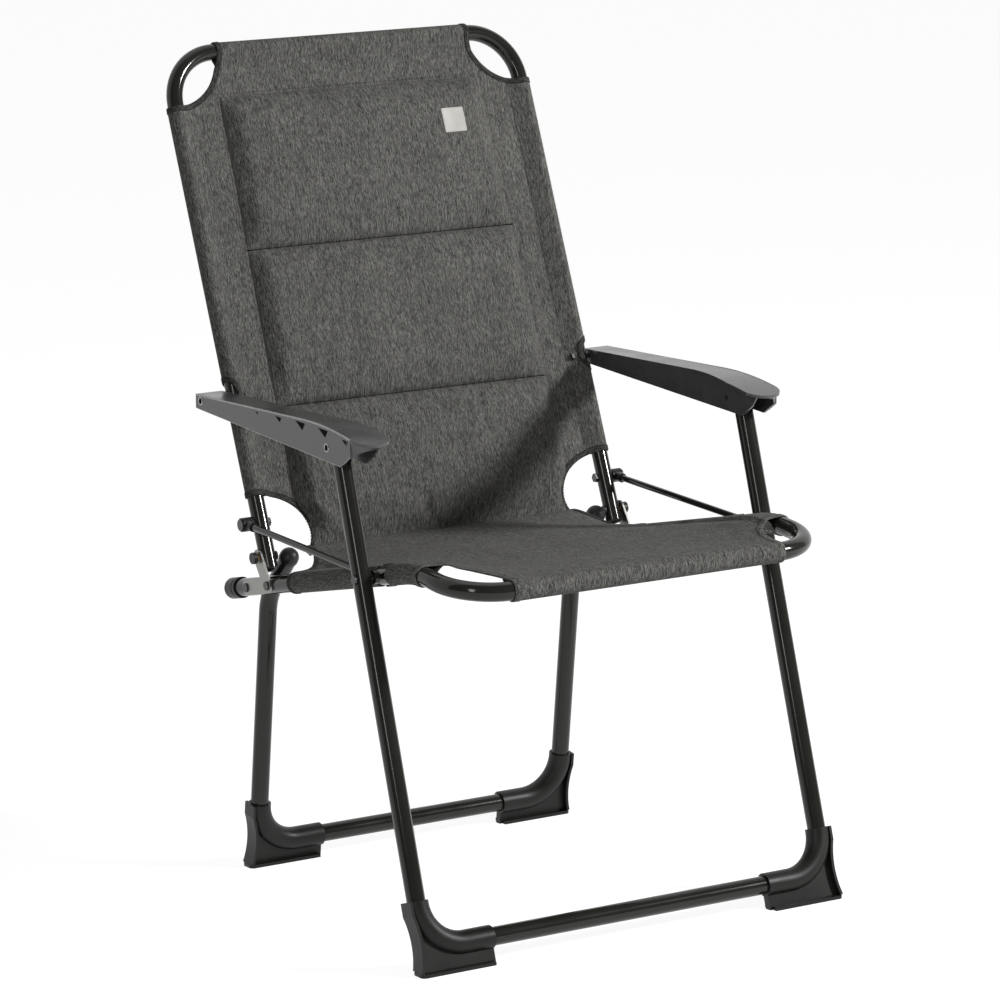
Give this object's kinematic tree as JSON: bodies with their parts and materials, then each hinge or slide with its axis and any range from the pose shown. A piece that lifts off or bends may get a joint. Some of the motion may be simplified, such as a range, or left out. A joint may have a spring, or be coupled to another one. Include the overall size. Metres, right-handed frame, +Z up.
{
  "type": "folding armchair",
  "caption": "Folding outdoor armchair: bent-tube frame, padded high sling back, sling seat, moulded armrests and feet; seat, back and rear legs fold flat between the front legs.",
  "frame": {"origin": "centre of the chair's bounding box, on the floor, with the chair open", "axes": "+X across the chair towards the sitter's left hand, the front faces -Y, +Z up"},
  "size_m": [0.582, 0.7103, 1.0011],
  "materials": {
    "frame": "semi-gloss anthracite powder coat",
    "armrest": "satin moulded plastic",
    "plastic": "satin moulded plastic",
    "seat_fabric": "woven textile mesh, mottled grey",
    "back_fabric": "woven textile mesh, mottled grey",
    "padded_fabric": "woven textile mesh over a foam pad, mottled grey",
    "lock_plate": "zinc-plated sheet",
    "bush": "turned",
    "bolts": "black-plated steel"
  },
  "bodies": {
    "front_frame": {"front_leg_frame": "frame", "leg_top_plugs": "plastic", "front_foot_left": "plastic", "front_foot_right": "plastic", "seat_pivot_bolts": "bolts", "arm_front_bolts": "bolts"},
    "armrests": {"armrest_left": "armrest", "armrest_right": "armrest", "arm_rear_bolts": "bolts"},
    "struts": {"strut_left": "frame", "strut_right": "frame", "strut_ends": "plastic"},
    "seat": {"seat_frame": "frame", "seat_end_caps": "plastic", "lock_plate_left": "lock_plate", "lock_plate_right": "lock_plate", "lock_plate_bolts": "bolts", "rear_pivot_bolts": "bolts", "rear_pivot_spacers": "plastic", "seat_pivot_saddles": "plastic", "seat_cover": "seat_fabric"},
    "back": {"back_frame": "frame", "back_tube_plugs": "plastic", "back_pivot_bolts": "bolts", "lock_studs": "plastic", "lock_bushes": "bush", "back_cover": "back_fabric", "back_pad_top": "padded_fabric", "back_pad_middle": "padded_fabric", "back_pad_bottom": "padded_fabric"},
    "rear_legs": {"rear_leg_frame": "frame", "rear_leg_plugs": "plastic", "rear_foot_left": "plastic", "rear_foot_right": "plastic"}
  },
  "joints": [
    {"name": "seat_fold", "type": "hinge", "parent": "front_frame", "child": "seat", "pos_m": [0, -0.17303, 0.436], "axis": [-1, 0, 0], "range_deg": [0, 85]},
    {"name": "strut_fold", "type": "hinge", "parent": "front_frame", "child": "struts", "pos_m": [0, -0.17303, 0.436], "axis": [-1, 0, 0], "range_deg": [0, 85]},
    {"name": "armrest_fold", "type": "hinge", "parent": "front_frame", "child": "armrests", "pos_m": [0, -0.1229, 0.58161], "axis": [-1, 0, 0], "range_deg": [0, 85]},
    {"name": "back_fold", "type": "hinge", "parent": "seat", "child": "back", "pos_m": [0, 0.13628, 0.4468], "axis": [1, 0, 0], "range_deg": [0, 85]},
    {"name": "rear_leg_fold", "type": "hinge", "parent": "seat", "child": "rear_legs", "pos_m": [0, 0.14965, 0.36682], "axis": [-1, 0, 0], "range_deg": [0, 110]}
  ],
  "couplings": [
    {"joint": "strut_fold", "follows": "seat_fold", "ratio": 1},
    {"joint": "armrest_fold", "follows": "seat_fold", "ratio": 1},
    {"joint": "back_fold", "follows": "seat_fold", "ratio": 1},
    {"joint": "rear_leg_fold", "follows": "seat_fold", "ratio": 1.2941}
  ]
}
